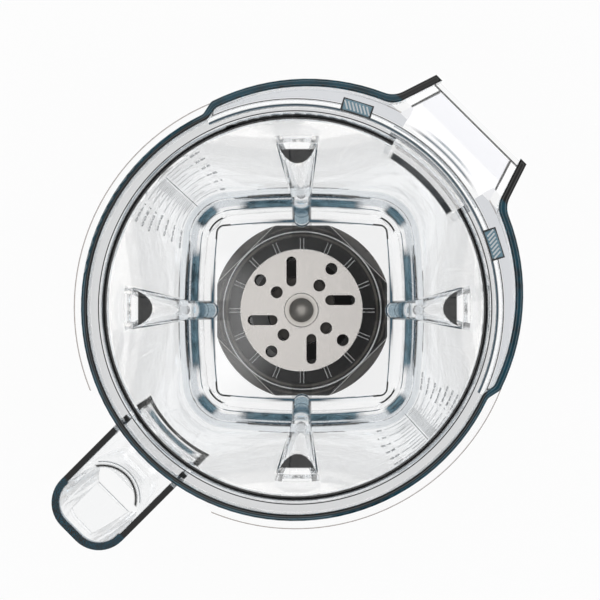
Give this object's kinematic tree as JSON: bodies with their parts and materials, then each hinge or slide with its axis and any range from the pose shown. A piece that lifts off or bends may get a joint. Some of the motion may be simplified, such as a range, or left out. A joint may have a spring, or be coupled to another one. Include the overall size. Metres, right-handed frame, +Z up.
{
  "type": "blender jar",
  "caption": "Clear low blender jar with a pour spout, hollow handle and fluted square body, and a perforated agitator disc on a ball-bearing drive shaft through its floor.",
  "frame": {"origin": "on the drive axis, in the plane of the skirt's lower edge that the jar stands on", "axes": "+Z up along the drive axis, +X towards the spout, handle at -X"},
  "size_m": [0.2301, 0.1764, 0.192],
  "materials": {
    "clear_copolyester": "clear moulded copolyester, polished, faint blue in thick edges",
    "stainless_steel": "satin blasted stainless steel",
    "blackened_steel": "black oxide on turned steel",
    "polished_steel": "polished steel",
    "bearing_steel": "ground steel",
    "black_nylon": "moulded glass-filled nylon, dark grey, half gloss",
    "brown_nylon": "moulded nylon",
    "white_acetal": "plain acetal",
    "seal_rubber": "moulded rubber",
    "seal_silicone": "grey silicone"
  },
  "bodies": {
    "jar_body": {"jar": "clear_copolyester", "bearing_housing": "blackened_steel", "housing_gasket": "seal_silicone", "thrust_washer": "white_acetal", "retainer_nut": "black_nylon", "upper_outer_race": "bearing_steel", "lower_outer_race": "bearing_steel", "race_spacer": "stainless_steel", "shaft_seal": "seal_rubber", "housing_circlip": "bearing_steel"},
    "agitator": {"drive_shaft": "stainless_steel", "lower_inner_race": "bearing_steel", "shaft_spacer": "stainless_steel", "upper_inner_race": "bearing_steel", "spacer_collar": "stainless_steel", "agitator_disc": "stainless_steel", "hub_washer": "stainless_steel", "cap_nut": "polished_steel"},
    "upper_ball_set": {"upper_balls": "bearing_steel", "upper_cage": "brown_nylon"},
    "lower_ball_set": {"lower_balls": "bearing_steel", "lower_cage": "brown_nylon"}
  },
  "joints": [
    {"name": "agitator_spin", "type": "hinge", "parent": "jar_body", "child": "agitator", "pos_m": [0, 0, 0.0505], "axis": [0, 0, 1], "continuous": true},
    {"name": "upper_ball_spin", "type": "hinge", "parent": "jar_body", "child": "upper_ball_set", "pos_m": [0, 0, 0.0365], "axis": [0, 0, 1], "continuous": true},
    {"name": "lower_ball_spin", "type": "hinge", "parent": "jar_body", "child": "lower_ball_set", "pos_m": [0, 0, 0.0225], "axis": [0, 0, 1], "continuous": true}
  ],
  "couplings": [
    {"joint": "upper_ball_spin", "follows": "agitator_spin", "ratio": 0.368},
    {"joint": "lower_ball_spin", "follows": "agitator_spin", "ratio": 0.368}
  ]
}
